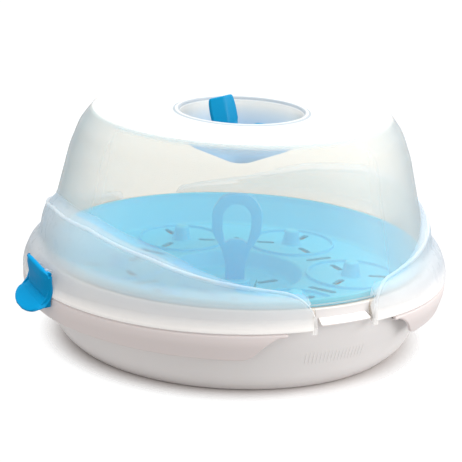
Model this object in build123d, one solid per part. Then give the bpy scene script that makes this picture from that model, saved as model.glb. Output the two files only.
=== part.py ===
from build123d import *
import math
import os

# Microwave steam sterilizer. Millimetres, +Z up, origin at the bottom centre.
# +X runs through the two side clips, -Y is the front, where the lid's wings part.

# ---- driving dimensions -------------------------------------------------
WALL_LID = 2.0            # wall of the clear lid
WALL_BASE = 2.5           # wall of the white bowl
PLAN_SHIFT = 8.0          # each wing and skirt turns about an axis this far off centre
FOOT_R = 103.0            # outer edge of the foot ring
FOOT_IN_R = 96.0          # inner edge of the foot ring
FOOT_RECESS = 1.5
BASE_RIM_R = 128.5        # outer radius of the bowl's rim
BASE_RIM_Z = 57.8
BASE_FLOOR_Z = 4.0
SKIRT_TOP_Z = 45.4        # shoulder of the side skirts, just under the lid's edge
LID_EDGE_Z = 46.0         # lower edge of the lid's wings
LID_SEAT_Z = 58.0         # the dome's lip sits on the bowl's rim
DOME_FOOT_R = 126.5       # dome wall where it meets the lip
DOME_LIP_R = 129.0
CREST_R = 96.5            # raised edge of the lid's flat top
CREST_Z = 152.8
WELL_R = 41.0             # mouth of the tongs well
PLATE_Z = 150.4
WELL_BOTTOM_Z = 118.2
GAP_X = 20.2              # half the gap between the wings at front and back
RACK_FLOOR_Z = 41.5
RACK_RIM_Z = 62.0
RACK_HEM_Z = 56.8          # lower edge of the rim's outer side
RACK_TURN = -31.0         # the rack stands turned in the round bowl
STATION_R = 77.5
STATIONS = 6
LEG_R_POS = 99.0
TONGS_TILT = 12.0
TONGS_ROLL = -7.0         # the tongs lean a little to the left in the well
TONGS_SPLAY = 28.0
PIVOT_X = 140.7           # clip hinge axis
PIVOT_Z = 60.6
PIN_R = 1.2
BORE_R = 1.26
TAB_HALF = 17.6           # half width of the tab between the wings


# ---- small helpers ------------------------------------------------------
def unit(ax, ay):
    n = math.hypot(ax, ay)
    return ax / n, ay / n


def outline(pts, close=True):
    """Edges of a polyline in (u, v) with an arc of radius r at each (u, v, r)."""
    n = len(pts)
    stops = []
    for i, p in enumerate(pts):
        u, v = p[0], p[1]
        r = p[2] if len(p) > 2 else 0.0
        inner = close or 0 < i < n - 1
        if r <= 0 or not inner:
            stops.append(((u, v), None, (u, v)))
            continue
        a, b = pts[i - 1], pts[(i + 1) % n]
        d1 = unit(a[0] - u, a[1] - v)
        d2 = unit(b[0] - u, b[1] - v)
        cosang = max(-1.0, min(1.0, d1[0] * d2[0] + d1[1] * d2[1]))
        half = math.acos(cosang) / 2.0
        if half > math.pi / 2 - 1e-4:
            stops.append(((u, v), None, (u, v)))
            continue
        # an arc never takes more of a run than its neighbour leaves it
        run1 = math.hypot(a[0] - u, a[1] - v) * (0.5 if len(a) > 2 and a[2] > 0 else 0.99)
        run2 = math.hypot(b[0] - u, b[1] - v) * (0.5 if len(b) > 2 and b[2] > 0 else 0.99)
        t = r / math.tan(half)
        if t > min(run1, run2):
            t = min(run1, run2)
            r = t * math.tan(half)
        s = (u + d1[0] * t, v + d1[1] * t)
        e = (u + d2[0] * t, v + d2[1] * t)
        bis = unit(d1[0] + d2[0], d1[1] + d2[1])
        c = (u + bis[0] * r / math.sin(half), v + bis[1] * r / math.sin(half))
        m = (c[0] - bis[0] * r, c[1] - bis[1] * r)
        stops.append((s, m, e))
    edges = []
    for i in range(n):
        s, m, e = stops[i]
        if m is not None:
            edges.append(ThreePointArc(s, m, e))
        if i < n - 1 or close:
            nxt = stops[(i + 1) % n][0]
            if math.hypot(nxt[0] - e[0], nxt[1] - e[1]) > 1e-6:
                edges.append(Line(e, nxt))
    return edges


def face(pts, plane=Plane.XZ):
    return plane * make_face(outline(pts))


def offset_path(pts, t):
    """The open path shifted t to its left, arcs kept concentric."""
    out = []
    n = len(pts)
    for i, p in enumerate(pts):
        u, v = p[0], p[1]
        r = p[2] if len(p) > 2 else 0.0
        if i == 0:
            d = unit(pts[1][0] - u, pts[1][1] - v)
            out.append((u - d[1] * t, v + d[0] * t, 0.0))
        elif i == n - 1:
            d = unit(u - pts[i - 1][0], v - pts[i - 1][1])
            out.append((u - d[1] * t, v + d[0] * t, 0.0))
        else:
            d1 = unit(u - pts[i - 1][0], v - pts[i - 1][1])
            d2 = unit(pts[i + 1][0] - u, pts[i + 1][1] - v)
            cross = d1[0] * d2[1] - d1[1] * d2[0]
            nx, ny = -(d1[1] + d2[1]), d1[0] + d2[0]
            k = t / ((nx * -d1[1] + ny * d1[0]) or 1e-9)
            rr = r - t * (1 if cross > 0 else -1) if r > 0 else 0.0
            out.append((u + nx * k, v + ny * k, max(rr, 0.05) if r > 0 else 0.0))
    return out


def spin(f):
    return revolve(f, Axis.Z, 360)


def box(x0, x1, y0, y1, z0, z1):
    return Pos((x0 + x1) / 2, (y0 + y1) / 2, (z0 + z1) / 2) * Box(x1 - x0, y1 - y0, z1 - z0)


def both_sides(right):
    return right, mirror(right, about=Plane.YZ)


# ---- base bowl ----------------------------------------------------------
bowl_out = [
    (FOOT_R, 0.0), (109.0, 0.0, 5.0), (118.0, 8.5, 22.0), (125.5, 31.0, 60.0),
    (128.2, 48.0, 60.0), (BASE_RIM_R, BASE_RIM_Z),
]
bowl_in = [
    (BASE_RIM_R - WALL_BASE, BASE_RIM_Z), (125.6, 48.0, 60.0), (122.9, 31.6, 60.0),
    (115.6, 9.6, 19.0), (111.5, BASE_FLOOR_Z, 9.0), (0.0, BASE_FLOOR_Z),
]
bowl = spin(face([(0.0, FOOT_RECESS), (FOOT_IN_R, FOOT_RECESS, 0.6), (FOOT_IN_R + 0.9, 0.0)]
                 + bowl_out + bowl_in))

# side skirts: a shoulder out from the bowl, then a wall down, open below
SK_TOP = SKIRT_TOP_Z
skirt_out = [(118.0, SK_TOP), (133.0, SK_TOP, 1.2), (133.0, 39.0, 20.0), (128.6, 25.0)]
skirt_in = [(126.2, 25.0), (130.6, 39.4, 17.0), (130.6, SK_TOP - 2.3, 0.6), (118.0, SK_TOP - 2.3)]
skirt = Pos(PLAN_SHIFT, 0, 0) * spin(face(skirt_out + skirt_in))
side_view = [
    (-131.0, 47.0), (-129.0, 44.4, 6.0), (-126.2, 39.6, 30.0), (-119.0, 28.0, 5.0), (-104.0, 28.6, 30.0),
    (-50.0, 30.0, 200.0), (50.0, 30.0, 200.0), (104.0, 28.6, 30.0), (119.0, 28.0, 5.0), (126.2, 39.6, 30.0),
    (129.0, 44.4, 6.0), (131.0, 47.0),
]
skirt_zone = extrude(face(side_view, Plane.YZ), 160.0)
skirt_r = skirt & skirt_zone & box(20, 160, -140, 140, 20, 60)
catch = Pos(PLAN_SHIFT, 0, 0) * spin(face([(131.5, 43.0), (133.7, 43.6), (133.9, 44.0, 0.3), (133.9, 45.2, 0.3), (131.5, 45.2)]))
skirt_r = skirt_r + (catch & box(100, 160, -8.5, 8.5, 40, 50))
bowl_core = spin(face([(0.0, FOOT_RECESS), (FOOT_IN_R + 0.9, FOOT_RECESS)] + bowl_out[1:] + [(0.0, BASE_RIM_Z)]))
skirt_r = skirt_r - bowl_core
base = bowl
for s in both_sides(skirt_r):
    base = base + s

# the short ledge at front and back, between the wings
ledge_ring = spin(face([(126.8, 49.4), (129.6, 49.2, 2.0), (133.4, 47.9, 0.5), (134.0, 49.3, 0.7), (128.6, 52.0, 1.5), (126.8, 52.1)]))
ledge = ledge_ring & box(-TAB_HALF, TAB_HALF, -140, 0, 40, 60)
ledge = ledge - spin(face([(0.0, 40.0), (127.2, 40.0), (127.2, 60.0), (0.0, 60.0)]))
base = base + ledge + mirror(ledge, about=Plane.XZ)

# ---- rack tray ----------------------------------------------------------
rack_top = [
    (0.0, 30.2), (40.0, 30.2, 4.0), (45.0, RACK_FLOOR_Z, 2.5), (108.5, RACK_FLOOR_Z, 5.0),
    (119.0, 58.5, 10.0), (119.9, RACK_RIM_Z - 0.2, 0.8), (122.9, RACK_RIM_Z - 0.2, 0.6), (122.9, RACK_HEM_Z),
]
rack_low = [
    (120.4, RACK_HEM_Z), (109.6, RACK_FLOOR_Z - 2.0, 7.0), (46.6, RACK_FLOOR_Z - 2.0, 4.0),
    (41.6, 28.2, 2.5), (0.0, 28.2),
]
rack = spin(face(rack_top + rack_low))
adds, cuts = [], []
ring = spin(face([(28.6, RACK_FLOOR_Z - 1.0), (30.6, RACK_FLOOR_Z - 1.0), (30.2, RACK_FLOOR_Z + 1.8, 0.4), (29.0, RACK_FLOOR_Z + 1.8, 0.4)]))
peg = spin(face([(0.0, RACK_FLOOR_Z - 1.0), (6.4, RACK_FLOOR_Z - 1.0), (4.6, RACK_FLOOR_Z + 10.0, 2.0), (0.0, RACK_FLOOR_Z + 10.0)]))
leg = spin(face([(0.0, BASE_FLOOR_Z + 0.1), (3.8, BASE_FLOOR_Z + 0.1), (5.6, RACK_FLOOR_Z - 1.0), (0.0, RACK_FLOOR_Z - 1.0)]))


def slot_box(length, width, radial, ang, z0, z1, around=(0.0, 0.0)):
    return (Pos(around[0], around[1], (z0 + z1) / 2) * Rot(0, 0, ang) * Pos(radial, 0, 0)
            * extrude(SlotOverall(length, width), (z1 - z0) / 2, both=True))


for k in range(STATIONS):
    th = 360.0 / STATIONS * k
    cx = STATION_R * math.cos(math.radians(th))
    cy = STATION_R * math.sin(math.radians(th))
    adds.append(Pos(cx, cy, 0) * ring)
    adds.append(Pos(cx, cy, 0) * peg)
    for j in range(3):
        cuts.append(slot_box(13.0, 4.4, 18.0, th + 120.0 * j, 36.0, 46.0, (cx, cy)))
    mid = th + 180.0 / STATIONS
    if k % 2 == 0:
        adds.append(Pos(LEG_R_POS * math.cos(math.radians(mid)), LEG_R_POS * math.sin(math.radians(mid)), 0) * leg)
        cuts.append(slot_box(16.0, 4.5, 26.0, mid, 25.0, 32.0))
    cuts.append(slot_box(20.0, 4.5, 66.0, mid, 36.0, 46.0))
hub = spin(face([(0.0, 28.2), (10.5, 28.2), (10.0, 36.0, 0.8), (0.0, 36.0)]))
for a in adds:
    rack = rack + a
rack = rack + hub
for c in cuts:
    rack = rack - c
# socket in the hub for the handle's foot
rack = rack - box(-6.55, 6.55, -2.55, 2.55, 31.0, 40.0)
rack = Rot(0, 0, RACK_TURN) * rack

# ---- rack lift handle: a ring on a stem ---------------------------------
handle_out = [
    (6.5, 31.1), (6.5, 46.0, 20.0), (9.2, 56.0, 18.0), (16.4, 68.0, 14.0), (16.6, 83.0, 12.0), (10.0, 94.4, 11.0),
    (-10.0, 94.4, 11.0), (-16.6, 83.0, 12.0), (-16.4, 68.0, 14.0), (-9.2, 56.0, 18.0), (-6.5, 46.0, 20.0), (-6.5, 31.1),
]
handle = extrude(face(handle_out), 2.5, both=True)
hole_out = [
    (7.4, 60.2, 0.8), (9.6, 71.0, 12.0), (9.2, 81.5, 7.0), (4.6, 87.6, 5.5), (-4.6, 87.6, 5.5), (-9.2, 81.5, 7.0),
    (-9.6, 71.0, 12.0), (-7.4, 60.2, 0.8), (-4.0, 63.2, 3.5), (4.0, 63.2, 3.5),
]
handle = handle - extrude(face(hole_out), 6.0, both=True)
handle = Rot(0, 0, RACK_TURN) * handle

# ---- lid ----------------------------------------------------------------
dome_top = [
    (0.0, WELL_BOTTOM_Z), (8.0, WELL_BOTTOM_Z + 0.6, 10.0), (34.8, 130.4, 7.0), (39.6, 141.0, 30.0),
    (WELL_R - 0.4, PLATE_Z, 3.0), (88.0, 150.9, 20.0), (CREST_R, CREST_Z, 4.0), (105.2, 140.9, 24.0),
    (111.2, 125.2, 50.0), (DOME_FOOT_R - 0.1, 60.6),
]
dome_under = offset_path(dome_top, -WALL_LID)
dome_under[0] = (0.0, WELL_BOTTOM_Z - WALL_LID, 0.0)
dome_under[-1] = (dome_under[-1][0], 60.6)
inner_foot = dome_under[-1][0] + 0.35
shell = spin(face(dome_top + [(DOME_LIP_R, 60.2, 0.5), (DOME_LIP_R, LID_SEAT_Z), (inner_foot, LID_SEAT_Z)]
                  + list(reversed(dome_under))))
filled = spin(face([(0.0, 40.0), (DOME_LIP_R, 40.0), (DOME_LIP_R, 60.2), (DOME_FOOT_R - 0.1, 60.6),
                    (111.2, 125.2, 50.0), (105.2, 140.9, 24.0), (100.0, 148.0), (0.0, 148.0)]))

wing_wall = [
    (133.2, LID_EDGE_Z), (133.0, 52.5, 20.0), (129.0, 62.4, 18.0), (122.7, 69.0, 4.0), (120.8, 80.0, 40.0), (114.5, 97.0),
]
wing_under = offset_path(wing_wall, WALL_LID)
wing_under[0] = (wing_under[0][0], LID_EDGE_Z - 1.0, 0.0)
wing_solid = Pos(PLAN_SHIFT, 0, 0) * spin(face([(100.0, LID_EDGE_Z)] + wing_wall + [(100.0, 97.0)]))
wing_hollow = Pos(PLAN_SHIFT, 0, 0) * spin(face([(90.0, LID_EDGE_Z - 1.0)] + wing_under + [(90.0, wing_under[-1][1])]))


def wing_line(drop):
    """The wings' sloping top line, seen from the side, as a closed outline down to z 40."""
    half = [(132.9, 50.0, 6.0), (130.0, 59.0, 8.0), (123.8, 66.4, 9.0), (112.5, 71.4, 50.0),
            (72.0, 83.9, 80.0), (24.0, 91.8, 60.0)]
    pts = [(133.6, 40.0)] + half
    left = [(y, z - drop, r) if z > 45 else (y, z) for y, z, *rr in pts for r in (rr or [0.0])]
    right = [(-p[0],) + tuple(p[1:]) for p in reversed(left)]
    return left + right


wing_zone = extrude(face(wing_line(0.0), Plane.YZ), 170.0)
hollow_zone = extrude(face(wing_line(WALL_LID), Plane.YZ), 170.0)
wing_r = (wing_solid & wing_zone & box(GAP_X, 170, -150, 150, 30, 120)) \
    - (wing_hollow & hollow_zone & box(GAP_X + WALL_LID, 170, -150, 150, 30, 120)) - filled
# a small foot under each end of the wing
end_foot = Pos(PLAN_SHIFT, 0, 0) * spin(face([(131.2, 43.4, 0.4), (133.1, 43.4, 0.4), (133.2, 47.5), (131.2, 47.5)]))
wing_r = wing_r + (end_foot & (box(GAP_X, GAP_X + 3.4, -150, -100, 40, 50) + box(GAP_X, GAP_X + 3.4, 100, 150, 40, 50)))

# hinge lugs for the clip: two ears with a bore
lug_side = [(133.0, 57.2), (139.4, 57.8, 0.6), (142.72, 58.55, 2.02), (142.72, 62.6, 2.02), (139.9, 62.6, 1.0), (136.2, 60.4), (133.0, 60.4)]
lug_core = Pos(PLAN_SHIFT, 0, 0) * spin(face([(0.0, 30.0), (131.6, 30.0), (131.6, 52.2), (127.6, 61.7), (121.3, 68.5), (0.0, 68.5)]))
lugs = None
for y0 in (-10.2, 7.2):
    ear = Pos(0, y0 + 3.0, 0) * extrude(face(lug_side), 3.0)
    lugs = ear if lugs is None else lugs + ear
lugs = lugs - lug_core
bore = Pos(PIVOT_X, 0, PIVOT_Z) * Rot(90, 0, 0) * Cylinder(BORE_R, 60.0)
lugs = lugs - bore
wing_r = wing_r + lugs
lid = shell
for s in both_sides(wing_r):
    lid = lid + s

# ---- clips --------------------------------------------------------------
clip_path = [
    (139.3, 65.5), (145.2, 65.3, 4.3), (145.75, 60.0, 6.0), (144.3, 52.0, 30.0), (144.9, 48.0, 6.0), (156.0, 38.6),
]
clip_under = offset_path(clip_path, -1.9)
plate_outline = clip_path + [clip_under[-1]] + list(reversed(clip_under[:-1]))
half_turn = math.degrees(math.asin(22.0 / 140.0))
# the plate bends round with the lid's wall
plate_bent = Rot(0, 0, -half_turn) * revolve(
    face([(u - PLAN_SHIFT, v, *w) for u, v, *w in plate_outline]), Axis.Z, 2 * half_turn)
plate = Pos(PLAN_SHIFT, 0, 0) * plate_bent
clip_face = [
    (-17.0, 66.0), (-17.6, 61.0, 4.0), (-16.6, 49.0, 14.0), (-19.0, 42.4, 2.5), (-16.0, 35.4, 6.0), (0.0, 32.0, 30.0),
    (16.0, 35.4, 6.0), (19.0, 42.4, 2.5), (16.6, 49.0, 14.0), (17.6, 61.0, 4.0), (17.0, 66.0),
]
plate = plate & (Pos(130, 0, 0) * extrude(face(clip_face, Plane.YZ), 40.0))
lip_plan = [
    (120.0, -22.0), (144.0, -22.0), (146.5, -19.4, 3.0), (153.0, -16.0, 6.0), (157.0, -7.0, 12.0), (157.0, 7.0, 12.0),
    (153.0, 16.0, 6.0), (146.5, 19.4, 3.0), (144.0, 22.0), (120.0, 22.0),
]
plate = plate & (Pos(0, 0, 30) * extrude(make_face(outline(lip_plan)), 40.0))
cheek_side = [
    (142.3, 53.0), (143.6, 53.4), (144.2, 60.0), (143.4, 63.6, 1.8), (140.0, 63.0, 1.6), (139.2, 60.4, 1.0), (140.3, 58.0, 1.0),
]
clip = plate
for y0 in (-13.4, 11.1):
    cheek = Pos(0, y0 + 2.3, 0) * extrude(face(cheek_side), 2.3)
    clip = clip + cheek
clip = clip + Pos(PIVOT_X, 0, PIVOT_Z) * Rot(90, 0, 0) * Cylinder(PIN_R, 24.0)
hook = Pos(0, 6.0, 0) * extrude(face([(143.2, 50.0), (143.6, 46.0), (142.35, 43.6, 0.3), (142.35, 42.4, 0.3), (144.2, 42.2, 0.5), (148.0, 45.3)]), 12.0)
clip = clip + hook
clip_right = clip
clip_left = mirror(clip, about=Plane.YZ)

# ---- tongs --------------------------------------------------------------
T_TH = 2.6
sp = math.radians(TONGS_SPLAY)
HINGE_U = 7.5 + 9.0 * math.sin(sp)
HINGE_V = 9.0 * math.cos(sp)
ARM_L = 25.0


def tongs_place(shape):
    return Pos(-1.4, 1.5, 122.7) * Rot(0, TONGS_ROLL, 0) * Rot(TONGS_TILT, 0, 0) * shape


mid_line = [(-HINGE_U, HINGE_V), (-7.5, 0.0, 6.0), (7.5, 0.0, 6.0), (HINGE_U, HINGE_V)]
up = offset_path(mid_line, T_TH / 2)
down = offset_path(mid_line, -T_TH / 2)
bow = extrude(face(down + list(reversed(up)), Plane.YZ), 6.0, both=True)
knuckle_gap = T_TH / 2 + 0.3
for sgn in (-1, 1):
    bow = bow - Pos(0, sgn * HINGE_U, HINGE_V) * Rot(0, 90, 0) * Cylinder(knuckle_gap, 20.0)
bow = tongs_place(bow)
arm_plan = [
    (-6.0, 0.0), (-6.0, 4.0, 6.0), (-9.6, 15.0, 10.0), (-9.8, 21.5, 4.0), (-7.2, ARM_L, 3.0), (7.2, ARM_L, 3.0),
    (9.8, 21.5, 4.0), (9.6, 15.0, 10.0), (6.0, 4.0, 6.0), (6.0, 0.0),
]
arm = extrude(face(arm_plan), T_TH / 2, both=True) + Rot(0, 90, 0) * Cylinder(T_TH / 2, 12.0)
arm_back = tongs_place(Pos(0, HINGE_U, HINGE_V) * Rot(-TONGS_SPLAY, 0, 0) * arm)
arm_front = tongs_place(Pos(0, -HINGE_U, HINGE_V) * Rot(TONGS_SPLAY, 0, 0) * arm)

# ---- write --------------------------------------------------------------
os.makedirs("parts", exist_ok=True)
pieces = {
    "base_bowl": base,
    "rack_tray": rack,
    "rack_lift_handle": handle,
    "lid": lid,
    "clip_left": clip_left,
    "clip_right": clip_right,
    "tongs_bow": bow,
    "tongs_arm_back": arm_back,
    "tongs_arm_front": arm_front,
}
for name, shape in pieces.items():
    solids = shape.solids()
    keep = Compound(solids) if len(solids) > 1 else solids[0]
    keep.label = name
    export_step(keep, f"parts/{name}.step")
    print(name, len(solids), round(sum(s.volume for s in solids)), keep.bounding_box())
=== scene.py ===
import math

import bmesh
import bpy
import numpy as np
from mathutils import Matrix, Vector


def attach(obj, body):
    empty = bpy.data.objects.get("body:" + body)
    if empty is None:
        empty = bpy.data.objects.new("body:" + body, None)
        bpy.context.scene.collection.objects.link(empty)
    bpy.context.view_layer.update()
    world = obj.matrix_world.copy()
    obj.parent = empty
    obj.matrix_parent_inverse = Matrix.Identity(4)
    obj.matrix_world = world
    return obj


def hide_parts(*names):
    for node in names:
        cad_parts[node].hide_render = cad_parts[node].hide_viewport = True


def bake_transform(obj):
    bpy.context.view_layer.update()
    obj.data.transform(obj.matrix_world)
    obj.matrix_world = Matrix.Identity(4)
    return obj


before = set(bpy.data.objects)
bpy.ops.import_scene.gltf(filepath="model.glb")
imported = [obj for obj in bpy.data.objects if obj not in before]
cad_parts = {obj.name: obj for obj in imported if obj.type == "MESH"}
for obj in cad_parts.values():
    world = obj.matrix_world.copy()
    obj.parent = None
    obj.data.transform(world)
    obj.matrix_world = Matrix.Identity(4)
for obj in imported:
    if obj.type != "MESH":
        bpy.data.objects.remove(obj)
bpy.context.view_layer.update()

MM = 0.001
scene = bpy.context.scene

# ======================================================================
# drawing helpers: everything below is drawn in millimetres
# ======================================================================


def _unit(x, y):
    n = math.hypot(x, y)
    return (x / n, y / n)


def path(pts, closed=False, degrees=7.0, pitch=8.0):
    """Points along a line through (u, v[, r]) with an arc of radius r at a vertex."""
    n = len(pts)
    stops = []
    for i, p in enumerate(pts):
        u, v = p[0], p[1]
        r = p[2] if len(p) > 2 else 0.0
        if r <= 0 or not (closed or 0 < i < n - 1):
            stops.append([(u, v)])
            continue
        a, b = pts[i - 1], pts[(i + 1) % n]
        d1 = _unit(a[0] - u, a[1] - v)
        d2 = _unit(b[0] - u, b[1] - v)
        c = max(-1.0, min(1.0, d1[0] * d2[0] + d1[1] * d2[1]))
        half = math.acos(c) / 2.0
        if half > math.pi / 2 - 1e-4:
            stops.append([(u, v)])
            continue
        run1 = math.hypot(a[0] - u, a[1] - v) * (0.5 if len(a) > 2 and a[2] > 0 else 0.99)
        run2 = math.hypot(b[0] - u, b[1] - v) * (0.5 if len(b) > 2 and b[2] > 0 else 0.99)
        t = min(r / math.tan(half), run1, run2)
        r = t * math.tan(half)
        bis = _unit(d1[0] + d2[0], d1[1] + d2[1])
        cx, cy = u + bis[0] * r / math.sin(half), v + bis[1] * r / math.sin(half)
        s = (u + d1[0] * t, v + d1[1] * t)
        e = (u + d2[0] * t, v + d2[1] * t)
        a0 = math.atan2(s[1] - cy, s[0] - cx)
        a1 = math.atan2(e[1] - cy, e[0] - cx)
        while a1 - a0 > math.pi:
            a1 -= 2 * math.pi
        while a1 - a0 < -math.pi:
            a1 += 2 * math.pi
        k = max(2, int(math.ceil(abs(math.degrees(a1 - a0)) / degrees)))
        stops.append([(cx + r * math.cos(a0 + (a1 - a0) * j / k), cy + r * math.sin(a0 + (a1 - a0) * j / k)) for j in range(k + 1)])
    out = []
    for i in range(n):
        out += stops[i]
        if i < n - 1 or closed:
            a, b = stops[i][-1], stops[(i + 1) % n][0]
            ln = math.hypot(b[0] - a[0], b[1] - a[1])
            if ln > 1.6:
                e = min(0.5, ln * 0.25) / ln
                k = max(1, int(round(ln * (1 - 2 * e) / pitch)))
                for j in range(k + 1):
                    f = e + (1 - 2 * e) * j / k
                    out.append((a[0] + (b[0] - a[0]) * f, a[1] + (b[1] - a[1]) * f))
    keep = [out[0]]
    for p in out[1:]:
        if math.hypot(p[0] - keep[-1][0], p[1] - keep[-1][1]) > 1e-4:
            keep.append(p)
    if closed and math.hypot(keep[0][0] - keep[-1][0], keep[0][1] - keep[-1][1]) < 1e-4:
        keep.pop()
    return np.array(keep, float)


def beside(pts, t):
    """The path's vertices shifted t to the left, arcs kept concentric."""
    out = []
    n = len(pts)
    for i, p in enumerate(pts):
        u, v = p[0], p[1]
        r = p[2] if len(p) > 2 else 0.0
        if i == 0:
            d = _unit(pts[1][0] - u, pts[1][1] - v)
            out.append((u - d[1] * t, v + d[0] * t, 0.0))
        elif i == n - 1:
            d = _unit(u - pts[i - 1][0], v - pts[i - 1][1])
            out.append((u - d[1] * t, v + d[0] * t, 0.0))
        else:
            d1 = _unit(u - pts[i - 1][0], v - pts[i - 1][1])
            d2 = _unit(pts[i + 1][0] - u, pts[i + 1][1] - v)
            cross = d1[0] * d2[1] - d1[1] * d2[0]
            nx, ny = -(d1[1] + d2[1]), d1[0] + d2[0]
            k = t / ((nx * -d1[1] + ny * d1[0]) or 1e-9)
            rr = r - t * (1 if cross > 0 else -1) if r > 0 else 0.0
            out.append((u + nx * k, v + ny * k, max(rr, 0.05) if r > 0 else 0.0))
    return out


def make(name, verts, faces, tidy=True):
    """A mesh object from millimetre points."""
    me = bpy.data.meshes.new(name)
    me.from_pydata([(float(x) * MM, float(y) * MM, float(z) * MM) for x, y, z in verts], [], faces)
    ob = bpy.data.objects.new(name, me)
    scene.collection.objects.link(ob)
    if tidy:
        bm = bmesh.new()
        bm.from_mesh(me)
        bmesh.ops.remove_doubles(bm, verts=bm.verts, dist=1e-7)
        bmesh.ops.recalc_face_normals(bm, faces=bm.faces)
        bm.to_mesh(me)
        bm.free()
    return ob


def lathe(name, prof, n=240, centre=(0.0, 0.0), turn=0.0):
    """A solid of revolution from a closed (r, z) outline; it may touch the axis."""
    verts, rows = [], []
    for r, z in prof:
        if r < 1e-4:
            rows.append([len(verts)] * n)
            verts.append((centre[0], centre[1], z))
        else:
            row = []
            for k in range(n):
                a = 2 * math.pi * k / n + turn
                row.append(len(verts))
                verts.append((centre[0] + r * math.cos(a), centre[1] + r * math.sin(a), z))
            rows.append(row)
    faces = []
    m = len(rows)
    for i in range(m):
        a, b = rows[i], rows[(i + 1) % m]
        if a[0] == a[-1] and b[0] == b[-1]:
            continue
        for k in range(n):
            q = [a[k], a[(k + 1) % n], b[(k + 1) % n], b[k]]
            f = []
            for v in q:
                if v not in f:
                    f.append(v)
            if len(f) > 2:
                faces.append(f)
    return make(name, verts, faces)


def tube(name, loops, ring=False):
    """A solid from closed loops of points, one after another; capped unless it closes on itself."""
    loops = [np.asarray(l, float) for l in loops]
    n = len(loops[0])
    verts = np.concatenate(loops)
    faces = []
    m = len(loops)
    for i in range(m if ring else m - 1):
        j = (i + 1) % m
        for k in range(n):
            k2 = (k + 1) % n
            faces.append((i * n + k, i * n + k2, j * n + k2, j * n + k))
    if not ring:
        faces.append(tuple(range(n)))
        faces.append(tuple(range((m - 1) * n, m * n)))
    return make(name, verts, faces)


def prism(name, outline, lo, hi, axis="y"):
    """A flat outline pulled along an axis: (x, z) along y, (y, z) along x or (x, y) along z."""
    n = len(outline)
    verts = []
    for d in (lo, hi):
        for u, v in outline:
            verts.append({"y": (u, d, v), "x": (d, u, v), "z": (u, v, d)}[axis])
    faces = [tuple(range(n)), tuple(range(n, 2 * n))]
    faces += [(k, (k + 1) % n, n + (k + 1) % n, n + k) for k in range(n)]
    return make(name, verts, faces)


def block(name, x0, x1, y0, y1, z0, z1):
    return prism(name, [(x0, y0), (x1, y0), (x1, y1), (x0, y1)], z0, z1, "z")


def evaluated(ob):
    """Applies ob's modifiers to its mesh."""
    dg = bpy.context.evaluated_depsgraph_get()
    me = bpy.data.meshes.new_from_object(ob.evaluated_get(dg))
    ob.modifiers.clear()
    old = ob.data
    ob.data = me
    bpy.data.meshes.remove(old)
    return ob


def drop(ob):
    me = ob.data
    bpy.data.objects.remove(ob)
    if me.users == 0:
        bpy.data.meshes.remove(me)


def joined(a, b, how="UNION", keep=False):
    """a united with, cut by, or kept inside b."""
    m = a.modifiers.new("b", "BOOLEAN")
    m.operation = how
    m.solver = "MANIFOLD"
    m.object = b
    evaluated(a)
    if not keep:
        drop(b)
    return a


def moved(ob, matrix):
    ob.data.transform(matrix)
    if matrix.determinant() < 0:
        ob.data.flip_normals()
    return ob


def copied(ob, name):
    c = bpy.data.objects.new(name, ob.data.copy())
    scene.collection.objects.link(c)
    return c


def mirrored(ob, name, axis="x"):
    c = copied(ob, name)
    d = {"x": (-1, 1, 1), "y": (1, -1, 1)}[axis]
    return moved(c, Matrix.Diagonal((*d, 1)))


def rounded_edges(ob, width, segments=3, angle=50.0):
    m = ob.modifiers.new("r", "BEVEL")
    m.width = width * MM
    m.segments = segments
    m.limit_method = "ANGLE"
    m.angle_limit = math.radians(angle)
    m.harden_normals = False
    m.miter_outer = "MITER_ARC"
    return evaluated(ob)


def smooth(ob, angle=33.0, weld=0.0):
    if weld:
        bm = bmesh.new()
        bm.from_mesh(ob.data)
        bmesh.ops.remove_doubles(bm, verts=bm.verts, dist=weld * MM)
        bmesh.ops.dissolve_degenerate(bm, dist=weld * MM * 0.5, edges=bm.edges)
        bm.to_mesh(ob.data)
        bm.free()
    ob.data.shade_smooth()
    ob.data.set_sharp_from_angle(angle=math.radians(angle))
    return ob


def finish_piece(ob, name, body, nodes, material):
    ob.name = name
    ob.data.name = name
    ob.data.materials.clear()
    ob.data.materials.append(material)
    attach(ob, body)
    if nodes:
        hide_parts(*nodes)
    return ob


# ======================================================================
# materials
# ======================================================================


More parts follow.
